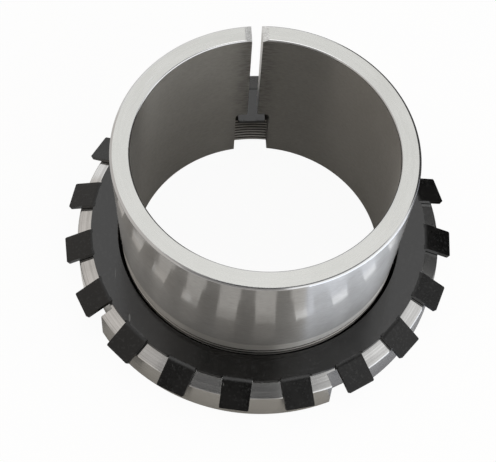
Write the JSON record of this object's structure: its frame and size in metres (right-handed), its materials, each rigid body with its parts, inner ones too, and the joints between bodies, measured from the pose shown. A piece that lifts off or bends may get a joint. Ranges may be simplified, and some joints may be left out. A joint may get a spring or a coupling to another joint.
{
  "type": "bearing adapter sleeve",
  "caption": "Slit tapered adapter sleeve for seating a bearing on a plain shaft, with a tabbed lock washer and a slotted lock nut on its threaded end.",
  "frame": {"origin": "on the bore's axis, in the plane of the threaded end, which the part stands on", "axes": "+Z along the bore towards the large end of the taper, +Y towards the slit"},
  "size_m": [0.1551, 0.1548, 0.077],
  "materials": {
    "sleeve_steel": "finely turned bore and face, ground taper",
    "washer_black": "matt black phosphate on stamped sheet steel",
    "nut_steel": "turned, fine concentric tool marks"
  },
  "bodies": {
    "nut": {"lock_nut": "nut_steel"},
    "washer": {"lock_washer": "washer_black"},
    "sleeve": {"sleeve": "sleeve_steel"}
  },
  "joints": [
    {"name": "nut_turn", "type": "hinge", "parent": "nut", "child": "washer", "pos_m": [0, 0, 0], "axis": [0, 0, 1], "range_deg": [-540, 3420]},
    {"name": "sleeve_slide", "type": "slide", "parent": "washer", "child": "sleeve", "axis": [0, 0, 1], "range_m": [-0.0031, 0.0191]}
  ],
  "couplings": [
    {"joint": "sleeve_slide", "follows": "nut_turn", "m_per_rad": 0.00031831}
  ]
}
